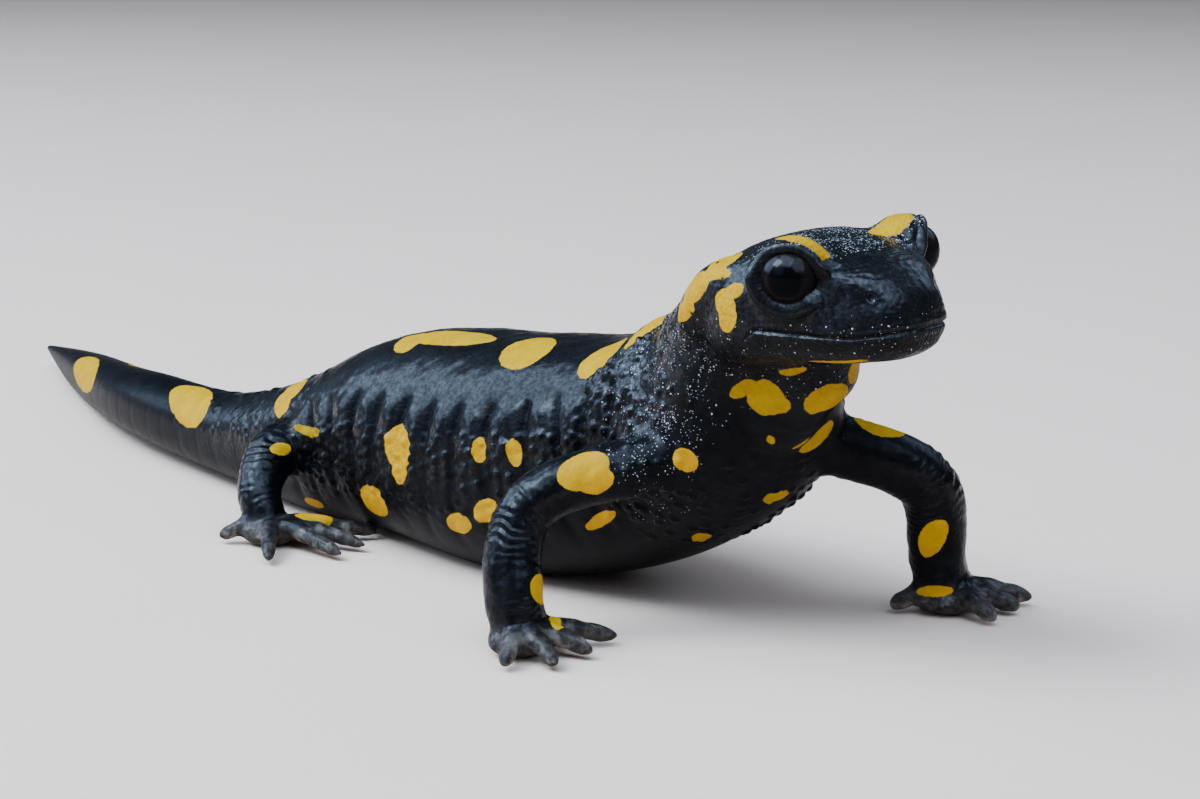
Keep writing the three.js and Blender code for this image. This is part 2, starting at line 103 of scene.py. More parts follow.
# Limbs: the middle line and its thickness; the palm's length, width, height and turn; digits.
LIMBS = [
    dict(name="arm_right",
         path=[(26.5, -4.5, 17.0), (17.2, -18.6, 10.8), (18.8, -20.4, 4.2), (19.6, -20.2, 1.3)],
         thick=[2.7, 2.5, 2.6, 2.3], palm=(2.9, 3.3, 1.5, 5.0), digit_radius=0.92,
         digits=[(23.2, -12.2), (25.4, -16.8), (26.1, -21.6), (23.3, -25.2)]),
    dict(name="arm_left",
         path=[(29.5, 3.5, 17.9), (35.0, 14.6, 11.9), (34.2, 16.8, 4.4), (34.6, 17.6, 1.3)],
         thick=[2.8, 2.8, 2.6, 2.4], palm=(3.1, 3.4, 1.5, 12.0), digit_radius=1.0,
         digits=[(32.2, 12.4), (41.3, 16.9), (40.3, 21.4), (38.8, 24.8)]),
    dict(name="leg_right",
         path=[(-32.0, -4.0, 7.4), (-29.8, -14.2, 7.2), (-27.2, -17.0, 4.2), (-25.2, -17.2, 1.3)],
         thick=[3.4, 2.6, 2.2, 2.0], palm=(3.1, 2.9, 1.5, -12.0), digit_radius=0.86,
         digits=[(-19.0, -8.2), (-15.6, -12.0), (-14.4, -15.8), (-17.4, -22.4), (-28.0, -21.6)]),
    dict(name="leg_left",
         path=[(-35.0, -1.5, 7.4), (-40.5, 8.6, 7.6), (-47.0, 11.2, 4.2), (-48.4, 12.8, 1.3)],
         thick=[3.4, 2.6, 2.2, 2.0], palm=(3.1, 2.9, 1.5, 60.0), digit_radius=0.86,
         digits=[(-40.8, 14.2), (-42.4, 18.8), (-45.6, 22.0), (-50.0, 21.6), (-54.4, 17.0)]),
]
DIGIT_ROOT, DIGIT_ROOT_UP = 1.5, 2.4
DIGIT_KNUCKLE, DIGIT_ARCH, DIGIT_TIP_UP = 0.6, 1.65, 0.75

RIB_FIRST, RIB_LAST, RIB_COUNT = 25.0, 77.0, 12
RING_FIRST, RING_LAST, RING_COUNT = 93.0, 153.0, 15

# Relief of the skin: how far each kind stands out or goes in, and its width.
RIDGE_RISE, RIDGE_SINK = 0.85, 0.5
FURROW_DEPTH, FURROW_WIDTH = 0.22, 0.8
WART_RISE, WART_ALONG, WART_UP = 0.42, 1.3, 1.2
LOOSE_WART_RISE, LOOSE_WART_PITCH = 0.36, 1.15
RING_DEPTH, RING_WIDTH = 0.025, 0.55
NECK_FOLD_DEPTH, NECK_FOLD_PITCH = 0.06, 2.1
LIMB_FOLD_RISE, BEND_FOLD_PITCH, WRIST_FOLD_PITCH = 0.105, 0.85, 0.7
MOUTH_DEPTH, MOUTH_WIDTH = 0.27, 0.13
NOSTRIL_RIM, RIM_RADIUS, RIM_WIDTH = 0.04, 0.5, 0.22
FAN_RISE, FAN_LINES = 0.012, 36
# Hollows and swellings of the face: place, stretch along each axis, rise and width.
FACE_FORMS = [
    (NOSTRIL, (1.0, 1.0, 1.0), -0.42, 0.25),
    ((2.05, 3.9, 2.2), (1.5, 1.0, 1.0), -0.28, 0.9),
    ((4.6, 5.6, 2.0), (1.9, 1.2, 1.0), -0.25, 1.1),
    ((3.9, 4.6, 4.0), (2.4, 1.0, 0.9), 0.2, 1.0),
    ((8.0, 0.0, 6.9), (1.4, 1.2, 1.0), -0.25, 2.2),
    ((11.3, 7.6, 1.6), (1.0, 1.0, 0.7), -0.16, 1.4),
]

# How fine the skin is, and how far its creases are rounded.
VOXEL = 0.22
CREASE_ROUNDS = 70


# --- Curves and lofts ---


def curve(knots, values):
    """A smooth line through values given at rising knots."""
    knots, values = np.asarray(knots, float), np.asarray(values, float)
    widths = np.diff(knots)
    steps = np.diff(values) / widths
    slopes = np.empty_like(values)
    slopes[0], slopes[-1] = steps[0], steps[-1]
    slopes[1:-1] = (steps[:-1] * widths[1:] + steps[1:] * widths[:-1]) / (widths[1:] + widths[:-1])

    def at(place):
        place = np.clip(np.asarray(place, float), knots[0], knots[-1])
        i = np.clip(np.searchsorted(knots, place, side="right") - 1, 0, len(knots) - 2)
        width = widths[i]
        t = (place - knots[i]) / width
        start = (1 + 2 * t) * (1 - t) ** 2 * values[i] + t * (1 - t) ** 2 * width * slopes[i]
        end = t * t * (3 - 2 * t) * values[i + 1] - t * t * (1 - t) * width * slopes[i + 1]
        return start + end

    return at


def length(vectors):
    return np.linalg.norm(vectors, axis=-1)


def unit(vectors):
    return vectors / np.maximum(length(vectors), 1e-9)[..., None]


class Path:
    """A smooth path through points, measured by the distance from the first one."""

    def __init__(self, points, nudge=0.05):
        points = np.asarray(points, float)
        chords = length(np.diff(points, axis=0))
        self.knots = np.concatenate([[0.0], np.cumsum(chords)])
        self.length = self.knots[-1]
        self.lines = [curve(self.knots, points[:, axis]) for axis in range(3)]
        self.nudge = nudge

    def at(self, distance):
        return np.stack([line(distance) for line in self.lines], axis=-1)

    def onward(self, distance):
        distance = np.asarray(distance, float)
        return unit(self.at(distance + self.nudge) - self.at(distance - self.nudge))

    def nearest(self, points, spacing=1.0):
        """For each point, the distance along the path of the place nearest to it."""
        places = np.linspace(0, self.length, max(int(self.length / spacing), 8))
        middles, ways = self.at(places), unit(np.gradient(self.at(places), axis=0))
        best = np.empty(len(points), int)
        for start in range(0, len(points), 20000):
            part = points[start:start + 20000]
            square = (middles ** 2).sum(1)[None] - 2 * part @ middles.T
            best[start:start + 20000] = square.argmin(axis=1)
        along = ((points - middles[best]) * ways[best]).sum(axis=1)
        half = places[1] / 2
        return np.clip(places[best] + np.clip(along, -half, half), 0, self.length)


def sections(middles, side, top, half, above, below, squareness, sides):
    """Rings of points: half widths along side, reach above and below along top."""
    angle = np.linspace(0, 2 * np.pi, sides, endpoint=False)
    cos, sin = np.cos(angle), np.sin(angle)
    power = 2 / squareness
    out = np.sign(cos) * np.abs(cos) ** power * np.reshape(half, (-1, 1))
    reach = np.where(sin > 0, np.reshape(above, (-1, 1)), np.reshape(below, (-1, 1)))
    rise = np.sign(sin) * np.abs(sin) ** power * reach
    side = np.broadcast_to(side, middles.shape)
    top = np.broadcast_to(top, middles.shape)
    return middles[:, None] + out[..., None] * side[:, None] + rise[..., None] * top[:, None]


def loft(rings):
    """Points and faces of a closed body through rings that follow one another."""
    count, sides = rings.shape[:2]
    points = np.concatenate([rings.reshape(-1, 3), rings[[0, -1]].mean(axis=1)])
    first_hub, last_hub = count * sides, count * sides + 1
    i = np.arange(sides)
    after = (i + 1) % sides
    faces = []
    for ring in range(count - 1):
        low, high = ring * sides, (ring + 1) * sides
        faces += np.stack([low + i, low + after, high + after, high + i], axis=1).tolist()
    faces += [[first_hub, b, a] for a, b in zip(i, after)]
    last = (count - 1) * sides
    faces += [[last_hub, last + a, last + b] for a, b in zip(i, after)]
    return points, faces


def ball(middle, radii, turn=0.0, sides=40):
    """A closed ellipsoid, turned about the vertical by degrees."""
    angle = np.linspace(0, np.pi, sides // 2 + 1)
    ring = np.sin(angle)
    ring[[0, -1]] = 0.02
    middles = np.outer(-np.cos(angle) * radii[2], UP) + np.asarray(middle)
    turn = math.radians(turn)
    side = np.array([math.cos(turn), math.sin(turn), 0.0])
    top = np.array([-math.sin(turn), math.cos(turn), 0.0])
    return loft(sections(middles, side, top, ring * radii[0], ring * radii[1], ring * radii[1],
                         2.0, sides))


def tube(path, radius, reference, start, end, sides=32):
    """A round tube along a path, with domed ends that take those shares of its length."""
    share = 1 - (1 - np.linspace(0, 1, 48)) ** 1.3
    distance = path.length * share
    onward = path.onward(distance)
    top = unit(np.cross(onward, reference))
    side = np.cross(top, onward)
    into_end = np.maximum(0, (share - 1 + end) / end)
    into_start = np.maximum(0, (start - share) / start)
    reach = radius(distance) * np.sqrt(1 - 0.95 * np.maximum(into_end, into_start) ** 2)
    return loft(sections(path.at(distance), side, top, reach, reach, reach, 2.0, sides))


# --- The forms of the body ---

trunk_path = Path([place[0] for place in TRUNK], SECTION_EASE)
trunk_half = curve(trunk_path.knots, [place[1] for place in TRUNK])
trunk_above = curve(trunk_path.knots, [place[2] for place in TRUNK])
trunk_below = curve(trunk_path.knots, [place[3] for place in TRUNK])


def trunk_axes(distance):
    forward = -trunk_path.onward(distance)
    side = unit(np.cross(UP, forward))
    return forward, side, np.cross(forward, side)


def turned(vector, axis, degrees):
    """A vector turned about an axis by the right-hand rule."""
    angle = math.radians(degrees)
    return (vector * math.cos(angle) + np.cross(axis, vector) * math.sin(angle)
            + axis * (axis @ vector) * (1 - math.cos(angle)))


turn, lift = math.radians(HEAD_TURN), math.radians(HEAD_LIFT)
level = np.array([math.cos(turn), math.sin(turn), 0.0])
head_forward = level * math.cos(lift) + UP * math.sin(lift)
head_side = turned(np.cross(UP, level), head_forward, HEAD_ROLL)
head_top = np.cross(head_forward, head_side)


def on_head(back, out, up):
    return SNOUT_TIP - head_forward * back + head_side * out + head_top * up


def trunk_form():
    distance = np.linspace(0, trunk_path.length, 420)
    _, side, top = trunk_axes(distance)
    return loft(sections(trunk_path.at(distance), side, top, trunk_half(distance),
                         trunk_above(distance), trunk_below(distance), TRUNK_SQUARENESS, 120))


def head_form():
    knots = [ring[0] for ring in HEAD]
    back = knots[-1] * np.linspace(0, 1, 90) ** 1.5
    half, above, below = (curve(knots, [ring[i] for ring in HEAD])(back) for i in (1, 2, 3))
    middles = SNOUT_TIP - np.outer(back, head_forward)
    return loft(sections(middles, head_side, head_top, half, above, below, HEAD_SQUARENESS, 120))


def lid_form(sign):
    middle = on_head(EYE[0], sign * (EYE[1] - LID_INWARD), EYE[2] + LID_UP)
    return ball(middle, (LID_RADIUS,) * 3, sides=64)


def gland_path(sign):
    return Path([on_head(back, sign * out, up) for (back, out, up), _ in GLAND])


def gland_form(sign):
    path = gland_path(sign)
    radius = curve(path.knots, [radius for _, radius in GLAND])
    return tube(path, radius, head_side, 0.3, 0.3)


def throat_form():
    path = Path([on_head(back, 0.0, up) for (back, up), _ in THROAT])
    radius = curve(path.knots, [radius for _, radius in THROAT])
    return tube(path, radius, head_side, 0.3, 0.3, 48)


def limb_forms(limb):
    """The long bones' flesh, the palm and the digits of one limb."""
    root, bend, ankle, sole = (np.array(point) for point in limb["path"])
    path = Path(limb["path"])
    across = unit(np.cross(bend - root, ankle - bend))
    forms = [tube(path, curve(path.knots, limb["thick"]), across, 0.05, 0.08)]
    long, wide, high, turn = limb["palm"]
    forms.append(ball(sole, (long, wide, high), turn))
    for tip in limb["digits"]:
        forms.append(digit_form(limb["digit_radius"], sole, np.array([*tip, DIGIT_TIP_UP])))
    return forms


def digit_form(thick, sole, tip):
    way = (tip - sole) * np.array([1.0, 1.0, 0.0])
    start, knuckle = sole + way * DIGIT_ROOT / length(way), sole + way * DIGIT_KNUCKLE
    start[2], knuckle[2] = DIGIT_ROOT_UP, DIGIT_ARCH
    path = Path([start, knuckle, tip])
    plain = curve(path.knots, [thick * 1.25, thick, thick * 0.85])

    def radius(distance):
        share = distance / path.length
        joints = hump(share - 0.42, 0.1) + 0.8 * hump(share - 0.72, 0.08)
        return plain(distance) * (0.9 + 0.14 * joints - 0.12 * step(share, 0.8, 1.0))

    return tube(path, radius, unit(np.cross(UP, way)), 0.2, 0.2, 24)


def mesh_of(name, points, faces):
    mesh = bpy.data.meshes.new(name)
    mesh.from_pydata(np.asarray(points).tolist(), [], faces)
    mesh.update()
    return mesh


def joined_form():
    forms = [trunk_form(), head_form(), throat_form()]
    forms += [form(sign) for form in (lid_form, gland_form) for sign in (1, -1)]
    for limb in LIMBS:
        forms += limb_forms(limb)
    points, faces = [], []
    for form_points, form_faces in forms:
        offset = sum(len(part) for part in points)
        points.append(form_points)
        faces += [[corner + offset for corner in face] for face in form_faces]
    return mesh_of("forms", np.concatenate(points), faces)


def put(name, data):
    """A new object in the scene."""
    made = bpy.data.objects.new(name, data)
    bpy.context.scene.collection.objects.link(made)
    return made


def remeshed(mesh, voxel):
    """One even surface of small squares round all the forms."""
    body = put("forms", mesh)
    remesh = body.modifiers.new("even", "REMESH")
    remesh.mode = "VOXEL"
    remesh.voxel_size = voxel
    remesh.adaptivity = 0.0
    evaluated = body.evaluated_get(bpy.context.evaluated_depsgraph_get())
    made = bpy.data.meshes.new_from_object(evaluated)
    bpy.data.objects.remove(body)
    return made


# --- The skin as arrays ---


def read(items, name, kind, width):
    values = np.empty(len(items) * width, kind)
    items.foreach_get(name, values)
    return values.reshape(-1, width)


class Skin:
    """A mesh's points, edges and faces, with the few operations that shape it."""

    def __init__(self, mesh):
        self.mesh = mesh
        self.points = read(mesh.vertices, "co", float, 3)
        self.edges = read(mesh.edges, "vertices", np.int64, 2)
        self.neighbours = np.bincount(self.edges.ravel(), minlength=len(self.points))
        mesh.calc_loop_triangles()
        self.triangles = read(mesh.loop_triangles, "vertices", np.int64, 3)

    def average(self, values):
        """The mean of each point's neighbours."""
        a, b = self.edges.T
        count = len(self.points)
        if values.ndim == 1:
            total = np.bincount(a, values[b], count) + np.bincount(b, values[a], count)
            return total / self.neighbours
        return np.stack([self.average(values[:, axis]) for axis in range(values.shape[1])], axis=1)

    def normals(self):
        a, b, c = (self.points[self.triangles[:, corner]] for corner in range(3))
        faces = np.cross(b - a, c - a)
        total = np.zeros_like(self.points)
        for axis in range(3):
            for corner in range(3):
                total[:, axis] += np.bincount(self.triangles[:, corner], faces[:, axis],
                                              len(self.points))
        return unit(total)

    def relax(self, rounds, share=0.5, where=1.0):
        """Draws every point towards the mean of its neighbours."""
        where = np.reshape(where, (-1, 1)) * share
        for _ in range(rounds):
            self.points += (self.average(self.points) - self.points) * where

    def fill_creases(self, rounds, where=1.0):
        """Rounds inward creases only: points that lie below their neighbours rise."""
        for turn in range(rounds):
            if turn % 6 == 0:
                normals = self.normals()
            rise = ((self.average(self.points) - self.points) * normals).sum(axis=1)
            self.points += normals * (np.maximum(rise, 0) * 0.6 * where)[:, None]

    def raise_by(self, heights):
        """Moves every point out along the skin by its height."""
        self.points += self.normals() * np.reshape(heights, (-1, 1))

    def write(self, scale):
        self.mesh.vertices.foreach_set("co", (self.points * scale).ravel())
        self.mesh.update()


def step(value, low, high):
    """0 below low, 1 above high and a smooth rise between; low may be the greater."""
    t = np.clip((value - low) / (high - low), 0, 1)
    return t * t * (3 - 2 * t)


def hump(distance, width):
    return np.exp(-(distance / width) ** 2)


def scatter(cells, seed):
    """An even random number from 0 to 1 for each whole-number cell."""
    mixed = np.full(cells.shape[:-1], seed * 374761393 + 12345, np.uint64)
    for axis, factor in enumerate((73856093, 19349663, 83492791)[:cells.shape[-1]]):
        mixed ^= cells[..., axis].astype(np.int64).astype(np.uint64) * np.uint64(factor)
        mixed = (mixed ^ (mixed >> np.uint64(15))) * np.uint64(2246822519)
        mixed &= np.uint64(0xFFFFFFFF)
    mixed ^= mixed >> np.uint64(13)
    mixed = (mixed * np.uint64(3266489917)) & np.uint64(0xFFFFFFFF)
    return (mixed >> np.uint64(8)).astype(float) / 2 ** 24


def noise(places, size, seed):
    """Smooth random values from -1 to 1 that change over the given size."""
    places = np.asarray(places) / size
    cells = np.floor(places)
    t = places - cells
    t = t * t * (3 - 2 * t)
    total = np.zeros(len(places))
    for corner in range(8):
        offset = np.array([corner & 1, corner >> 1 & 1, corner >> 2 & 1])
        weight = np.prod(np.where(offset, t, 1 - t), axis=1)
        total += weight * scatter(cells + offset, seed)
    return 2 * total - 1


def grains(places, seed, jitter=0.8):
    """Distance to the nearest grain, and that grain's own random number."""
    cells = np.floor(places)
    count = places.shape[1]
    nearest, own = np.full(len(places), 9.0), np.zeros(len(places))
    for code in range(3 ** count):
        offset = np.array([code // 3 ** axis % 3 - 1 for axis in range(count)])
        cell = cells + offset
        centre = cell + 0.5
        for axis in range(count):
            centre[:, axis] += (scatter(cell, seed + axis) - 0.5) * jitter
        distance = length(places - centre)
        closer = distance < nearest
        own = np.where(closer, scatter(cell, seed + 7), own)
        nearest = np.where(closer, distance, nearest)
    return nearest, own


# --- Where each point of the skin lies ---


class Places:
    """Each point's measures on the trunk, on the head and on the limbs."""

    def __init__(self, points):
        self.points = points
        self.along = trunk_path.nearest(points)
        middle = trunk_path.at(self.along)
        _, side, top = trunk_axes(self.along)
        offset = points - middle
        across, rise = (offset * side).sum(axis=1), (offset * top).sum(axis=1)
        reach = np.where(rise > 0, trunk_above(self.along), trunk_below(self.along))
        wide = trunk_half(self.along)
        self.across, self.rise = across / wide, rise / reach
        power = TRUNK_SQUARENESS
        share = (np.abs(self.across) ** power + np.abs(self.rise) ** power) ** (1 / power)
        self.trunk_gap = (share - 1) * (wide + reach) / 2
        self.turn = np.degrees(np.arctan2(self.rise, self.across))
        from_snout = points - SNOUT_TIP
        self.back = -from_snout @ head_forward
        self.out = from_snout @ head_side
        self.up = from_snout @ head_top
        self.limb_along, self.limb_gap = {}, {}
        for limb in LIMBS:
            path = Path(limb["path"])
            along = path.nearest(points, 0.7)
            radius = curve(path.knots, limb["thick"])(along)
            self.limb_along[limb["name"]] = along
            self.limb_gap[limb["name"]] = length(points - path.at(along)) - radius

    def on_head(self):
        """1 on the head in front of the neck, 0 behind it."""
        return step(self.back, 21.0, 17.0) * step(self.up, -9.0, -6.0)

    def plain(self):
        """How far the skin is smooth and matt: nearly all of the belly and most of the tail."""
        return np.maximum(step(self.rise, 0.05, -0.5) * 0.95, step(self.along, 84.0, 104.0) * 0.85)

    def on_limb(self):
        """1 on arms, legs, hands and feet, 0 on the trunk."""
        near_limb = np.zeros(len(self.points))
        for name, gap in self.limb_gap.items():
            free = step(self.limb_along[name], 5.0, 11.0)
            near_limb = np.maximum(near_limb, step(gap, 3.0, 0.6) * free)
        hand = np.zeros(len(self.points))
        for limb in LIMBS:
            sole = np.array(limb["path"][-1])
            reach = length((self.points - sole)[:, :2])
            hand = np.maximum(hand, step(reach, 13.0, 12.0) * step(self.points[:, 2], 5.0, 4.0))
        clear = step(self.trunk_gap, 0.15, 1.2)
        return np.maximum(near_limb, hand) * clear


def eye_middle(sign):
    return on_head(EYE[0], sign * EYE[1], EYE[2])


def eye_axes(sign):
    forward, down = EYE_LOOK
    look = unit(head_side * sign + head_forward * forward - head_top * down)
    wide = unit(np.cross(UP, look))
    return look, wide, np.cross(look, wide)


# --- Relief ---


def rib_relief(places):
    """Upright furrows down the flanks, one to each rib, with a rounded ridge between two."""
    along = places.along + 0.12 * places.rise * trunk_above(places.along)
    along = along + 0.8 * noise(places.points, 5.0, 3)
    pitch = (RIB_LAST - RIB_FIRST) / RIB_COUNT
    turns = (along - RIB_FIRST) / pitch
    furrow = np.abs(turns - np.round(turns)) * pitch
    ridge = np.abs(np.sin(np.pi * turns)) ** 0.8
    inside = step(along, RIB_FIRST - 1.5, RIB_FIRST + 1.0) * step(along, RIB_LAST + 2.0, RIB_LAST)
    turn = np.abs(places.turn)
    turn = np.where(turn > 90, 180 - turn, turn) * np.sign(places.rise)
    flank = step(turn, 38.0, 26.0) * step(turn, -50.0, -12.0)
    upper = step(turn, 36.0, 24.0) * step(turn, 1.0, 13.0)
    broken = 0.85 + 0.35 * noise(places.points, 2.2, 9)
    depth = -FURROW_DEPTH * hump(furrow, FURROW_WIDTH) * flank * (1 - upper)
    raised = (RIDGE_RISE * ridge - RIDGE_SINK) * upper * broken
    return (depth + raised) * inside, along, turn


def wart_relief(places, along, turn):
    """Rounded warts in loose upright rows, from the neck to the hips."""
    row = along / WART_ALONG
    height = np.radians(turn) * (trunk_half(places.along) + 1.0) / WART_UP
    height += 0.5 * (np.floor(row) % 2)
    left_side = (places.across > 0) * 57.0
    nearest, own = grains(np.stack([row + left_side, height], axis=1), 11, 0.55)
    wart = np.maximum(0, 1 - (nearest / 0.58) ** 2) ** 1.5 * step(own, -0.2, 0.9)
    flank = step(turn, 22.0, 12.0) * step(turn, -36.0, -8.0)
    front = step(turn, 62.0, 35.0) * step(turn, -45.0, -10.0) * step(along, 34.0, 27.0)
    inside = step(along, 17.0, 22.0) * step(along, RIB_LAST + 3.0, RIB_LAST - 4.0)
    return WART_RISE * wart * np.maximum(flank, front) * inside


def loose_warts(places):
    """Scattered low warts on the neck, shoulders, hips and tail root."""
    nearest, own = grains(places.points / LOOSE_WART_PITCH, 23)
    wart = np.maximum(0, 1 - (nearest / 0.52) ** 2) * step(own, 0.2, 0.9)
    neck = step(places.along, 7.0, 11.0) * step(places.along, 30.0, 22.0)
    hip = step(places.along, 70.0, 77.0) * step(places.along, 110.0, 92.0)
    throat = 1 - 0.75 * step(places.points[:, 0], 29.5, 33.0)
    hip = 0.6 * hip * step(places.rise, 0.0, 0.4)
    return LOOSE_WART_RISE * wart * np.maximum(neck, hip) * throat


def ring_relief(places):
    """Shallow rings round the tail."""
    pitch = (RING_LAST - RING_FIRST) / RING_COUNT
    turns = (places.along + 0.3 * noise(places.points, 4.0, 5) - RING_FIRST) / pitch
    groove = hump((turns - np.round(turns)) * pitch, RING_WIDTH)
    inside = step(places.along, RING_FIRST - 2, RING_FIRST) * step(places.along, 160.0, 150.0)
    return -RING_DEPTH * groove * inside * trunk_half(places.along) / 4.5


def neck_folds(places):
    """Soft folds across the neck and throat."""
    along = places.along + 0.9 * noise(places.points, 3.5, 31)
    inside = step(places.along, 6.0, 9.5) * step(places.along, 22.0, 16.0)
    folds = np.cos(2 * np.pi * along / NECK_FOLD_PITCH)
    return -NECK_FOLD_DEPTH * np.maximum(folds, 0) ** 2 * inside


def limb_folds(places):
    """Fine broken folds at elbows, knees and wrists."""
    total = np.zeros(len(places.points))
    for limb in LIMBS:
        path = Path(limb["path"])
        along, gap = places.limb_along[limb["name"]], places.limb_gap[limb["name"]]
        wavy = along + 0.5 * noise(places.points, 1.6, 41)
        near_bend = hump(along - path.knots[1], 3.2)
        near_wrist = hump(along - path.knots[2] - 0.4, 1.1)
        fold = np.cos(2 * np.pi * wavy / BEND_FOLD_PITCH) * near_bend
        fold += 0.7 * np.cos(2 * np.pi * wavy / WRIST_FOLD_PITCH) * near_wrist
        broken = step(noise(places.points, 0.9, 43), -0.45, 0.25)
        on = step(gap, 0.8, 0.3) * step(places.trunk_gap, 0.6, 1.6)
        total += LIMB_FOLD_RISE * fold * broken * on
    return total


def mouth_line(back):
    return np.interp(back, [point[0] for point in MOUTH], [point[1] for point in MOUTH])


def mouth_relief(places):
    """The closed mouth: a fine crease between the lips, the lower one the fuller behind."""
    above = places.up - mouth_line(places.back)
    corner = MOUTH[-1][0]
    on = step(places.back, corner, corner - 1.6) * step(np.abs(above), 3.0, 1.5)
    behind = step(places.back, 4.5, 7.0)
    crease = -MOUTH_DEPTH * hump(above, MOUTH_WIDTH)
    upper = (0.09 - 0.05 * behind) * hump(above - 0.5, 0.34)
    lower = (0.03 + 0.1 * behind) * hump(above + 0.34, 0.24)
    lower = lower * (0.75 + 0.25 * noise(places.points, 1.1, 67)) * step(places.back, 11.2, 9.4)
    under = -0.05 * hump(above + 1.0, 0.4)
    return (crease + upper + lower + under) * on


def face_relief(places):
    """Nostrils, the hollow before each eye and the ridge over it, and the dished crown."""
    here = np.stack([places.back, np.abs(places.out), places.up], axis=1)

    def away(place, stretch=(1.0, 1.0, 1.0)):
        return length((here - np.array(place)) / np.array(stretch))

    total = NOSTRIL_RIM * hump(away(NOSTRIL) - RIM_RADIUS, RIM_WIDTH)
    for place, stretch, rise, width in FACE_FORMS:
        total += rise * hump(away(place, stretch), width)
    ahead, over = 5.4 - places.back, places.up - 4.3
    reach, angle = np.hypot(ahead, over), np.arctan2(over, ahead)
    fan = np.cos(FAN_LINES * angle + 2.5 * noise(places.points, 0.9, 61))
    fan *= step(reach, 0.6, 1.2) * step(reach, 4.6, 3.0) * step(places.back, 6.0, 5.0)
    total += FAN_RISE * fan
    total += 0.022 * noise(places.points, 0.28, 63) + 0.014 * noise(places.points, 0.6, 65)
    return total * places.on_head()


def set_lids(skin, sign):
    """Opens the lids round an eyeball: a rounded rim outside it, the skin tucked in behind it."""
    middle = eye_middle(sign)
    look, wide, high = eye_axes(sign)
    aim = unit(look + LID_AIM * high)
    high = unit(high - aim * (high @ aim))
    offset = skin.points - middle
    distance = length(offset)
    way = offset / np.maximum(distance, 1e-6)[:, None]
    x, y = way @ wide, way @ high
    around = np.maximum(np.hypot(x, y), 1e-6)
    half_high = np.where(y > 0, LID_OPEN_UP, LID_OPEN_DOWN)
    half = 1 / np.hypot(x / around / LID_OPEN_WIDE, y / around / half_high)
    corner = np.arctan2(y, -sign * x) + LID_CORNER_DOWN
    half = half * (1 + LID_CORNER * hump(corner, 0.38))
    opening = np.degrees(np.arccos(np.clip(way @ aim, -1, 1))) / half
    upper = step(y / around, -0.2, 0.5)
    lip = np.sqrt(np.clip((opening - 1.0) / (0.15 + 0.13 * upper), 0, 1))
    rim = 0.06 + (1.12 - 0.56 * upper) * lip
    rim -= 0.24 * upper * hump(opening - 1.52, 0.085)
    tucked = np.where(opening < 1.0, -0.35, rim)
    outer = 1.19 + 0.26 * upper
    beyond = np.maximum(step(opening, outer, outer + 0.26), step(distance, 3.9, 4.5))
    target = (EYE_RADIUS + tucked) * (1 - beyond) + distance * beyond
    near = (distance < 4.5) & (opening < 1.8)
    moved = middle + way * target[:, None]
    skin.points[near] = moved[near]


# --- Making the skin ---


def refine(mesh, near):
    """Splits the faces wherever near(points) is true."""
    work = bmesh.new()
    work.from_mesh(mesh)
    points = np.array([vertex.co for vertex in work.verts])
    chosen = near(points)
    edges = [edge for edge in work.edges
             if chosen[edge.verts[0].index] and chosen[edge.verts[1].index]]
    bmesh.ops.subdivide_edges(work, edges=edges, cuts=1, use_grid_fill=True)
    work.to_mesh(mesh)
    work.free()


def near_face(points):
    back, up = (SNOUT_TIP - points) @ head_forward, (points - SNOUT_TIP) @ head_top
    return (back < 17.0) & (up > -4.5) & (back > -3)


def make_skin():
    mesh = remeshed(joined_form(), VOXEL)
    skin = Skin(mesh)
    skin.relax(6)
    places = Places(skin.points)
    hands = step(skin.points[:, 2], 2.2, 3.4)
    skin.fill_creases(CREASE_ROUNDS, 0.25 + 0.75 * np.maximum(hands, 1 - places.on_limb()))
    skin.relax(3)
    skin.write(1.0)
    refine(mesh, near_face)
    skin = Skin(mesh)
    skin.relax(3)
    places = Places(skin.points)
    calm = 1 - places.on_limb()
    head = places.on_head()
    body = calm * (1 - head)
    ribs, along, turn = rib_relief(places)
    heights = (ribs + wart_relief(places, along, turn) + loose_warts(places)) * body
    heights += (ring_relief(places) + neck_folds(places)) * body
    heights += limb_folds(places) + mouth_relief(places) * head + face_relief(places)
    lumps = 0.06 * noise(skin.points, 1.6, 51) + 0.035 * noise(skin.points, 0.75, 52)
    heights += lumps * body * (1 - places.plain())
    lumps = 0.06 * noise(skin.points, 1.2, 53) + 0.03 * noise(skin.points, 0.5, 55)
    heights += lumps * (1 - calm)
    skin.raise_by(heights)
    skin.relax(1, 0.3)
    around_eyes = np.zeros(len(skin.points))
    for sign in (1, -1):
        set_lids(skin, sign)
        distance = length(skin.points - eye_middle(sign))
        around_eyes = np.maximum(around_eyes, step(distance, 5.5, 4.5))
    skin.relax(2, 0.4, around_eyes)
    skin.points[:, 2] = np.maximum(skin.points[:, 2], 0.0)
    return skin


# --- Markings ---

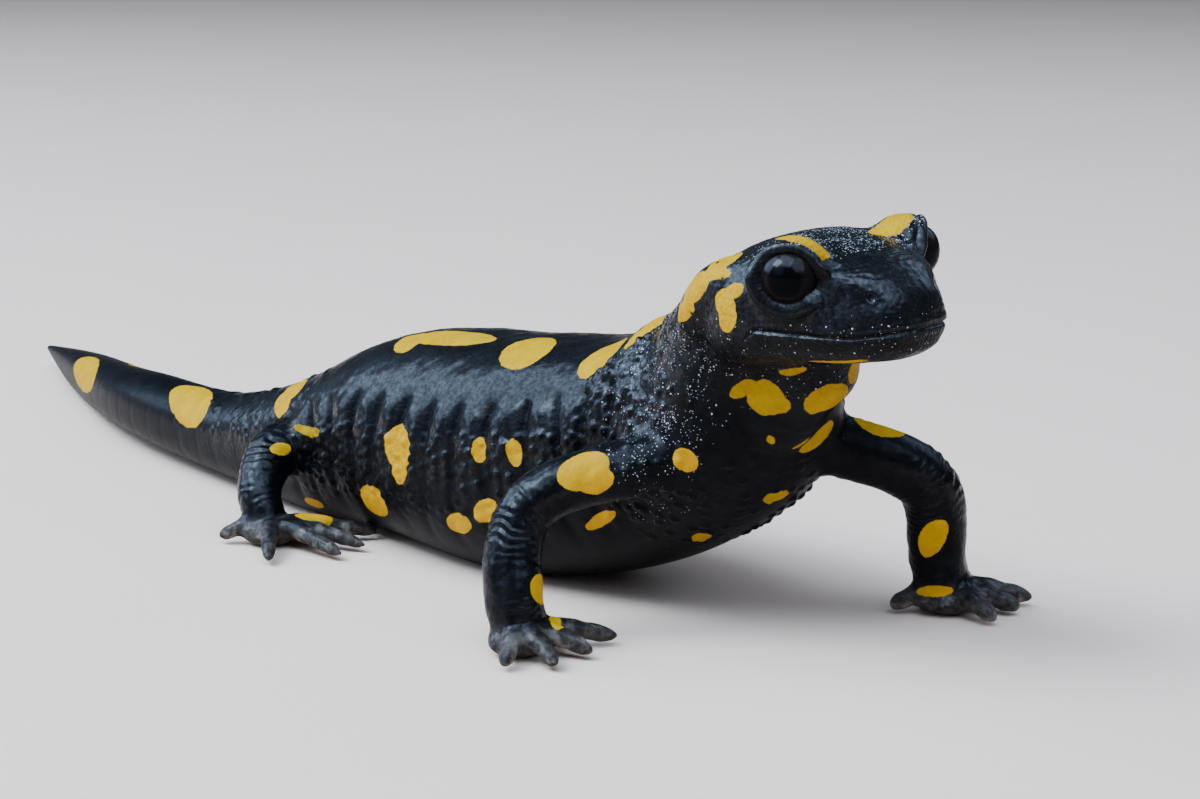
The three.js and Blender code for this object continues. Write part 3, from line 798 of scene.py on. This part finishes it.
# Yellow patches: middle (x, y, z), half length, half width, tilt in degrees on the skin.
BACK_PATCHES = [
    (-12.2, -4.0, 21.3, 6.7, 2.1, 4), (-17.1, -5.3, 20.4, 3.0, 1.7, -44),
    (1.3, -4.9, 22.3, 3.7, 2.8, -40), (12.6, -5.5, 23.5, 2.8, 2.2, 61),
    (16.7, -2.8, 26.5, 3.2, 0.95, 88), (-34.5, -9.2, 11.9, 2.4, 1.4, -32),
    (-34.6, -7.6, 13.1, 2.7, 1.5, -25), (-55.9, -7.5, 8.4, 5.9, 2.4, -19),
    (-54.6, -8.9, 7.3, 2.7, 1.4, -6), (-90.9, -1.9, 5.3, 7.7, 2.1, -10),
]
FLANK_PATCHES = [
    (-9.2, -12.4, 11.9, 2.3, 2.0, 85), (-9.2, -12.5, 10.1, 1.7, 1.2, 72),
    (2.6, -11.6, 13.7, 1.2, 0.8, 90), (6.6, -10.6, 14.1, 1.3, 0.8, -76),
    (-15.0, -11.5, 5.3, 2.5, 1.8, 24), (-1.2, -11.3, 5.9, 1.9, 1.1, 19),
    (3.0, -11.0, 8.1, 1.8, 1.1, 28), (15.9, -8.0, 9.2, 2.2, 0.6, 28),
    (27.0, -8.0, 16.9, 1.2, 1.0, -50), (-28.6, -9.4, 2.4, 1.8, 0.8, 10),
    (21.4, -14.8, 15.9, 2.4, 1.6, 55), (22.3, -14.2, 15.0, 1.6, 1.3, 10),
    (33.2, 9.6, 18.2, 2.5, 1.5, 66), (35.3, 15.1, 2.4, 1.7, 0.5, 13),
    (-22.2, -13.9, 2.7, 1.9, 1.1, 50),
]
HEAD_PATCHES = [
    (33.2, -9.4, 35.0, 1.8, 1.3, 83), (33.2, -10.6, 34.0, 1.9, 0.6, 12),
    (30.8, -10.5, 32.6, 2.4, 1.3, 20), (28.9, -10.0, 30.3, 2.4, 0.8, 23),
    (36.0, -10.8, 33.0, 1.1, 0.7, 25), (35.2, -11.1, 31.9, 1.3, 1.15, -53),
    (35.6, -11.2, 30.8, 1.3, 1.0, 77), (41.2, -9.0, 37.8, 1.8, 1.0, 15),
    (42.5, -8.0, 37.3, 1.5, 0.9, 45), (41.2, 2.0, 37.9, 2.2, 1.4, 85),
]
# The throat and underside patches take a darker yellow than the rest: painted shade.
THROAT_PATCHES = [
    (32.4, -6.3, 23.8, 1.4, 0.65, 23), (34.7, -5.6, 23.1, 2.1, 1.6, 28),
    (36.0, -5.2, 22.8, 1.0, 0.8, 51), (39.0, -2.8, 23.2, 2.0, 1.7, -72),
    (38.2, -3.6, 22.8, 1.3, 0.8, 60), (33.5, 1.7, 18.5, 2.2, 1.0, -60),
    (34.2, -1.0, 18.5, 0.9, 0.45, -60), (33.7, -4.1, 19.1, 0.5, 0.35, 79),
    (29.9, 0.1, 12.8, 1.3, 0.9, -70), (23.0, -2.4, 8.0, 1.2, 0.9, 43),
    (43.9, -6.6, 28.05, 2.6, 0.5, -18), (37.6, -5.4, 26.2, 1.3, 0.35, 0),
    (39.7, -0.3, 25.6, 1.2, 1.1, 0), (-26.4, -11.3, 10.3, 2.4, 0.5, 0),
]
LIMB_PATCHES = [
    (20.6, -18.9, 5.7, 1.5, 1.3, 51), (21.7, -18.1, 3.0, 1.4, 0.6, -23),
    (36.2, 13.8, 7.8, 2.2, 1.15, 56), (-28.0, -13.8, 8.6, 1.2, 0.7, 88),
]

# The left side: distance along the trunk, angle up its side, half length and half width.
LEFT_PATCHES = [
    (16.0, 62, 3.4, 1.2), (27.0, 66, 3.2, 1.9), (39.0, 70, 4.8, 2.1), (53.0, 66, 4.2, 2.2),
    (67.0, 64, 5.2, 2.0), (81.0, 62, 3.0, 1.8), (97.0, 44, 4.2, 2.0), (124.0, 34, 4.6, 1.6),
    (33.0, 14, 1.3, 0.9), (46.0, 6, 2.2, 1.5), (58.0, 18, 1.2, 0.8), (64.0, -14, 2.0, 1.3),
    (42.0, -30, 1.8, 1.0), (72.0, 8, 2.0, 1.2), (24.0, -16, 1.6, 1.1),
]
PATCH_BLEND = 0.25


def patch_distance(points, normals, patches):
    """Signed distance to the nearest patch's edge along the skin, less than 0 inside."""
    total = np.full(len(points), 4.0)
    for x, y, z, long, wide, tilt in patches:
        middle = np.array([x, y, z])
        close = length(points - middle) < long + 4.0
        index = np.nonzero(close)[0]
        if len(index) == 0:
            continue
        nearest = index[length(points[index] - middle).argmin()]
        normal = normals[nearest]
        ahead = np.array([1.0, 0.0, 0.0]) if abs(normal[0]) < 0.85 else UP
        along = unit(ahead - normal * (ahead @ normal))
        along = turned(along, normal, tilt)
        over = np.cross(normal, along)
        offset = points[index] - points[nearest]
        u, v, depth = offset @ along, offset @ over, offset @ normal
        share = np.hypot(u / long, v / wide)
        slope = np.hypot(u / long ** 2, v / wide ** 2)
        distance = share * (share - 1) / np.maximum(slope, 1e-3)
        distance = np.where(share < 0.3, -0.7 * wide, distance)
        hidden = (np.abs(depth) > 3.2) | ((normals[index] @ normal) < 0.0)
        distance = np.where(hidden, 4.0, distance)
        blend = np.clip(0.5 + 0.5 * (total[index] - distance) / PATCH_BLEND, 0, 1)
        total[index] = total[index] * (1 - blend) + distance * blend - 0.12 * blend * (1 - blend)
    return np.clip(total, -2.0, 4.0)


def add_attribute(mesh, name, values):
    layer = mesh.attributes.new(name, "FLOAT", "POINT")
    layer.data.foreach_set("value", np.asarray(values, np.float32))


def left_patches():
    """The left side's patches, each tilted a little."""
    made = []
    random = np.random.default_rng(7)
    for along, turn, long, wide in LEFT_PATCHES:
        _, side, top = trunk_axes(np.array([along]))
        angle = math.radians(turn)
        power = 2 / TRUNK_SQUARENESS
        out = math.cos(angle) ** power * float(trunk_half(along))
        reach = float(trunk_above(along) if turn > 0 else trunk_below(along))
        rise = math.copysign(abs(math.sin(angle)) ** power, turn) * reach
        place = trunk_path.at(np.array([along]))[0] + side[0] * out + top[0] * rise
        made.append((*place, long, wide, float(random.uniform(-25, 25))))
    return made


def left_head_patches():
    """The left cheek and gland bands, from the right ones across the head's middle."""
    made = []
    for x, y, z, long, wide, tilt in HEAD_PATCHES[:7]:
        offset = np.array([x, y, z]) - SNOUT_TIP
        place = np.array([x, y, z]) - 2 * (offset @ head_side) * head_side
        made.append((*place, long * 1.05, wide, -tilt))
    return made


def mark(skin):
    """Writes the measures that the colours are mixed by."""
    mesh, points, normals = skin.mesh, skin.points, skin.normals()
    places = Places(points)
    head, limb = places.on_head(), places.on_limb()
    bright = BACK_PATCHES + FLANK_PATCHES + HEAD_PATCHES + left_patches() + left_head_patches()
    yellow = patch_distance(points, normals, bright)
    # The throat and underside patches, drawn in a darker yellow as painted shade.
    shaded_yellow = patch_distance(points, normals, THROAT_PATCHES)
    deep = patch_distance(points, normals, LIMB_PATCHES)
    add_attribute(mesh, "patch", np.minimum.reduce([yellow, shaded_yellow, deep]))
    add_attribute(mesh, "shaded_yellow", step(shaded_yellow - np.minimum(yellow, deep), 0.3, -0.3))
    add_attribute(mesh, "deep", step(deep - np.minimum(yellow, shaded_yellow), 0.3, -0.3))
    gland = np.zeros(len(points))
    for sign in (1, -1):
        path = gland_path(sign)
        gap = length(points - path.at(path.nearest(points, 0.7)))
        gland = np.maximum(gland, step(gap, 3.6, 2.6))
    add_attribute(mesh, "gland", gland)
    crown = step(places.back, 4.2, 6.0) * step(places.back, 15.0, 11.0) * step(places.up, 4.6, 5.6)
    brow = step(normals @ head_top, 0.5, 0.8)
    neck = step(places.along, 5.0, 8.0) * step(places.along, 30.0, 18.0) * (1 - limb)
    neck *= step(points[:, 0], 35.0, 30.0) * step(places.rise, -0.95, -0.4)
    jaw = 0.16 * head * step(places.up, 2.0, 0.0)
    add_attribute(mesh, "dust", np.maximum.reduce([crown * brow, 0.42 * neck, jaw]))
    add_attribute(mesh, "toes", step(points[:, 2], 3.4, 1.4) * limb)
    add_attribute(mesh, "smooth", limb)
    add_attribute(mesh, "face", head)
    plain = places.plain() * (1 - limb) * (1 - head)
    add_attribute(mesh, "leather", 1 - 0.35 * limb + 0.9 * head - plain)
    furrow = step(-rib_relief(places)[0], -0.02, 0.16) * (1 - limb) * (1 - head)
    wet = (1 - plain) * (0.12 + 0.88 * step(normals[:, 2], -0.3, 0.35)) * (1 - 0.85 * furrow)
    add_attribute(mesh, "wet", wet * (1 + 0.65 * head + 0.45 * neck * (1 - head)))


# --- Materials ---


class Flow:
    """A number that flows between shader nodes. Sums and products of it make new nodes."""

    def __init__(self, shader, socket):
        self.shader, self.socket = shader, socket

    def math(self, operation, *others):
        node = self.shader.make("ShaderNodeMath", operation=operation)
        self.shader.feed(node.inputs[0], self)
        for place, other in enumerate(others, start=1):
            self.shader.feed(node.inputs[place], other)
        return Flow(self.shader, node.outputs[0])

    def __add__(self, other):
        return self.math("ADD", other)

    def __sub__(self, other):
        return self.math("SUBTRACT", other)

    def __mul__(self, other):
        return self.math("MULTIPLY", other)

    def __rsub__(self, other):
        return (self * -1.0) + other

    __radd__ = __add__
    __rmul__ = __mul__

    def rise(self, low, high):
        """0 below low, 1 above high, smooth between."""
        node = self.shader.make("ShaderNodeMapRange", interpolation_type="SMOOTHSTEP")
        self.shader.feed(node.inputs["Value"], self)
        self.shader.feed(node.inputs["From Min"], low)
        self.shader.feed(node.inputs["From Max"], high)
        return Flow(self.shader, node.outputs["Result"])


class Shader:
    """A material's node tree with one Principled surface."""

    def __init__(self, name, **fixed):
        self.material = bpy.data.materials.new(name)
        self.material.use_nodes = True
        self.tree = self.material.node_tree
        self.surface = self.tree.nodes["Principled BSDF"]
        for socket, value in fixed.items():
            self.surface.inputs[socket.replace("_", " ")].default_value = value

    def make(self, kind, **settings):
        node = self.tree.nodes.new(kind)
        for name, value in settings.items():
            setattr(node, name, value)
        return node

    def feed(self, socket, value):
        if isinstance(value, Flow):
            value = value.socket
        if isinstance(value, bpy.types.NodeSocket):
            self.tree.links.new(value, socket)
        else:
            socket.default_value = value

    def node(self, kind, settings=None, output=0, **inputs):
        """A node of any other kind, with its settings and the values of its sockets."""
        node = self.make(kind, **(settings or {}))
        for name, value in inputs.items():
            self.feed(node.inputs[name.replace("_", " ")], value)
        return Flow(self, node.outputs[output])

    def attribute(self, name):
        return self.node("ShaderNodeAttribute", {"attribute_name": name}, "Fac")

    def place(self):
        return self.node("ShaderNodeTexCoord", output="Object")

    def noise(self, size, detail=2.0, roughness=0.5):
        """Cloudy noise whose lumps are about size millimetres wide."""
        return self.node("ShaderNodeTexNoise", None, "Fac", Vector=self.place(),
                         Scale=1.0 / (size * MM), Detail=detail, Roughness=roughness)

    def cells(self, size, settings=None, output="Distance", **inputs):
        """Round cells about size millimetres wide."""
        return self.node("ShaderNodeTexVoronoi", settings, output, Vector=self.place(),
                         Scale=1.0 / (size * MM), **inputs)

    def specks(self, size, share):
        """Separate round grains, in more of the cells where the share is greater."""
        near = self.cells(size)
        own = self.cells(size, output="Color") + share
        return near.rise(0.34, 0.24) * own.rise(0.9, 0.94)

    def mix(self, share, first, second):
        node = self.make("ShaderNodeMix", data_type="RGBA")
        for place, value in ((0, share), (6, first), (7, second)):
            self.feed(node.inputs[place], value)
        return node.outputs[2]

    def bump(self, height, strength, distance):
        node = self.make("ShaderNodeBump")
        self.feed(node.inputs["Height"], height)
        node.inputs["Strength"].default_value = strength
        node.inputs["Distance"].default_value = distance * MM
        return node.outputs["Normal"]

    def finish(self, **linked):
        for name, value in linked.items():
            self.feed(self.surface.inputs[name.replace("_", " ")], value)
        return self.material


BLACKS = (0.001, 0.0011, 0.0016, 1), (0.003, 0.0033, 0.0046, 1)
TOE_BROWN, TOE_PALE = (0.072, 0.060, 0.052, 1), (0.17, 0.145, 0.125, 1)
DUST_GREY = (0.42, 0.42, 0.42, 1)
BRIGHT_YELLOWS = (0.47, 0.235, 0.0004, 1), (0.57, 0.292, 0.0006, 1)
# A darker yellow for the throat and underside patches: painted shade.
SHADED_YELLOWS = (0.29, 0.16, 0.0006, 1), (0.37, 0.21, 0.0008, 1)
DEEP_YELLOWS = (0.46, 0.245, 0.0004, 1), (0.56, 0.305, 0.0005, 1)
PUPIL, IRISES = (0.0015, 0.0015, 0.002, 1), ((0.004, 0.0035, 0.004, 1), (0.010, 0.007, 0.006, 1))
FLOOR_GREYS = (0.84, 0.60, 0.455, 1), (0.88, 0.635, 0.485, 1)


def skin_material():
    shader = Shader("salamander_skin", Specular_IOR_Level=0.05, Coat_Roughness=0.23, Coat_IOR=1.33)
    ragged = (shader.noise(0.9, 3.0, 0.6) - 0.5) * 0.34 + (shader.noise(0.25, 2.0) - 0.5) * 0.1
    edge = shader.attribute("patch") + ragged
    inside = edge.rise(0.05, -0.05)
    pore = shader.cells(1.3).rise(0.17, 0.10) * shader.attribute("gland")
    fleck = shader.noise(0.5, 2.0, 0.6).rise(0.72, 0.76) * shader.attribute("face")
    yellow = inside * (1.0 - pore) * (1.0 - fleck * 0.6)

    cloud = shader.noise(2.4, 3.0, 0.6)
    toes = shader.attribute("toes")
    black = shader.mix(cloud.rise(0.35, 0.7), *BLACKS)
    brown = toes * (shader.noise(0.8, 3.0, 0.65).rise(0.3, 0.75) * 0.8 + 0.2)
    black = shader.mix(brown, black, TOE_BROWN)
    pale = toes * shader.noise(1.7, 3.0, 0.6).rise(0.5, 0.68)
    black = shader.mix(pale, black, TOE_PALE)

    tone = shader.noise(1.7, 3.0, 0.55).rise(0.3, 0.72)
    patch = shader.mix(tone, *BRIGHT_YELLOWS)
    # Throat and underside patches: their darker yellow is painted shade.
    patch = shader.mix(shader.attribute("shaded_yellow"), patch, shader.mix(tone, *SHADED_YELLOWS))
    patch = shader.mix(shader.attribute("deep"), patch, shader.mix(tone, *DEEP_YELLOWS))
    colour = shader.mix(yellow, black, patch)

    dust = shader.attribute("dust")
    share = dust * (shader.noise(1.3, 2.0).rise(0.34, 0.62) * 0.5 + 0.16)
    grain = (shader.specks(0.16, share) + shader.specks(0.27, share * 0.6)).math("MINIMUM", 1.0)
    grain = grain * dust.rise(0.0, 0.1) * (1.0 - yellow)
    colour = shader.mix(grain, colour, DUST_GREY)

    smooth = shader.attribute("smooth")
    leather = shader.cells(0.34, {"feature": "SMOOTH_F1"}, Smoothness=0.35)
    fine = shader.noise(0.16, 2.0, 0.6)
    coarse = shader.noise(0.7, 3.0, 0.55)
    height = (leather * -0.9 + fine * 0.25 + coarse) * shader.attribute("leather")
    height = height + grain * 0.25 - pore * 0.8
    normal = shader.bump(height, 0.6, 0.1)
    rough = 0.3 + cloud * 0.16 + grain * 0.3 + toes * 0.2 + leather * 0.1
    rough = rough - smooth * 0.06 + yellow * 0.1
    coat = (0.64 - smooth * 0.06) * (1.0 - toes * 0.6) * (1.0 - grain) * (1.0 - yellow * 0.9)
    mottle = shader.noise(0.48, 3.0, 0.7).rise(0.34, 0.66) * 0.9 + 0.42
    coat = coat * shader.attribute("wet") * mottle
    return shader.finish(Base_Color=colour, Roughness=rough, Coat_Weight=coat, Normal=normal)


def eye_material():
    shader = Shader("salamander_eye", Specular_IOR_Level=0.02, Coat_Roughness=0.17)
    ring = shader.attribute("iris")
    streaks = shader.noise(0.25, 3.0, 0.6)
    colour = shader.mix(ring, PUPIL, shader.mix(streaks, *IRISES))
    rough = 0.1 + ring * 0.05
    coat = shader.attribute("wet") * 0.3 + 0.01
    normal = shader.bump(streaks, 0.05, 0.02)
    return shader.finish(Base_Color=colour, Roughness=rough, Coat_Weight=coat, Normal=normal)


def floor_material():
    shader = Shader("studio_floor", Specular_IOR_Level=0.3)
    cloud = shader.noise(40.0, 3.0, 0.5)
    colour = shader.mix(cloud, *FLOOR_GREYS)
    normal = shader.bump(shader.noise(0.6, 3.0, 0.6), 0.1, 0.1)
    return shader.finish(Base_Color=colour, Roughness=0.75 + cloud * 0.05, Normal=normal)


# --- The pieces ---


def add_object(name, mesh, material):
    mesh.materials.clear()
    mesh.materials.append(material)
    mesh.shade_smooth()
    return put(name, mesh)


def make_eye(sign, name, node, material):
    """An eyeball whose clear front stands a little proud of the rest."""
    look, wide, high = eye_axes(sign)
    points, faces = ball((0, 0, 0), (1.0,) * 3, sides=96)
    points = unit(points)
    ahead = points[:, 2]
    cornea = CORNEA_RISE * step(ahead, 0.55, 0.95)
    ways = points @ np.stack([wide, high, look])
    placed = ways * (EYE_RADIUS * (1 + cornea))[:, None] + eye_middle(sign)
    mesh = mesh_of(name, placed * MM, faces)
    add_attribute(mesh, "iris", step(ahead, 0.45, 0.6) * step(ahead, 0.9, 0.8))
    add_attribute(mesh, "wet", step(ways[:, 2], 0.0, 0.4))
    eye = add_object(name, mesh, material)
    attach(eye, "root")
    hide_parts(node)


skin = make_skin()
skin.write(MM)
mark(skin)
body = add_object("skin", skin.mesh, skin_material())
body.data.name = "skin"
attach(body, "root")
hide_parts(*[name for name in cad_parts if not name.startswith("eye")])

eye_look = eye_material()
make_eye(1, "eyeball_left", "eye_left", eye_look)
make_eye(-1, "eyeball_right", "eye_right", eye_look)

# --- Studio ---

CAMERA_AT = Vector((187.2, -152.0, 68.3)) * MM
CAMERA_HEADING, CAMERA_DOWN = 50.0, 12.12
CAMERA_LENS = 76.8
FLOOR_REACH = 3.0
SKY_BLUE, WINDOW_BLUE, AIR_BLUE = (0.52, 0.70, 1.0), (0.56, 0.77, 1.0), (0.68, 0.84, 1.0, 1)
AIR_STRENGTH = 0.1
# Soft lights: name, place, aim, length and width, power and colour.
LIGHTS = [
    ("sky", (-0.62, -0.40, 0.52), (0, 0, 0.01), (0.8, 0.8), 13.0, SKY_BLUE),
    ("top", (0.14, -0.30, 0.80), (0, 0, 0.01), (0.7, 0.7), 10.0, SKY_BLUE),
    ("window", (-0.15, -0.41, 0.57), (0.03, 0, 0.02), (0.32, 0.32), 7.0, WINDOW_BLUE),
    ("rim", (0.05, 0.6, 0.42), (0, 0, 0.02), (0.5, 0.3), 0.8, SKY_BLUE),
    ("side", (0.10, -0.75, 0.34), (0.02, 0, 0.02), (0.5, 0.5), 0.8, SKY_BLUE),
    ("front", (0.50, 0.04, 0.52), (0.03, 0, 0.02), (0.6, 0.6), 3.5, SKY_BLUE),
]


def make_floor():
    corners = np.array([(-1, -1, 0), (1, -1, 0), (1, 1, 0), (-1, 1, 0)]) * FLOOR_REACH
    floor = add_object("floor", mesh_of("floor", corners, [[0, 1, 2, 3]]), floor_material())


def make_light(name, place, target, size, power, colour):
    light = bpy.data.lights.new(name, "AREA")
    light.shape = "RECTANGLE"
    light.size, light.size_y = size
    light.energy = power
    light.color = colour
    lamp = put(name, light)
    lamp.location = Vector(place)
    aim = (Vector(target) - Vector(place)).to_track_quat("-Z", "Y")
    lamp.rotation_euler = aim.to_euler()


def make_camera():
    data = bpy.data.cameras.new("camera")
    data.sensor_width = 36.0
    data.sensor_fit = "HORIZONTAL"
    data.lens = CAMERA_LENS
    data.clip_start = 0.01
    camera = put("camera", data)
    camera.location = CAMERA_AT
    camera.rotation_euler = math.radians(90 - CAMERA_DOWN), 0, math.radians(CAMERA_HEADING)
    bpy.context.scene.camera = camera


def make_world():
    world = bpy.data.worlds.new("studio")
    world.use_nodes = True
    air = world.node_tree.nodes["Background"].inputs
    air["Color"].default_value = AIR_BLUE
    air["Strength"].default_value = AIR_STRENGTH
    bpy.context.scene.world = world


make_floor()
for light in LIGHTS:
    make_light(*light)
make_camera()
make_world()
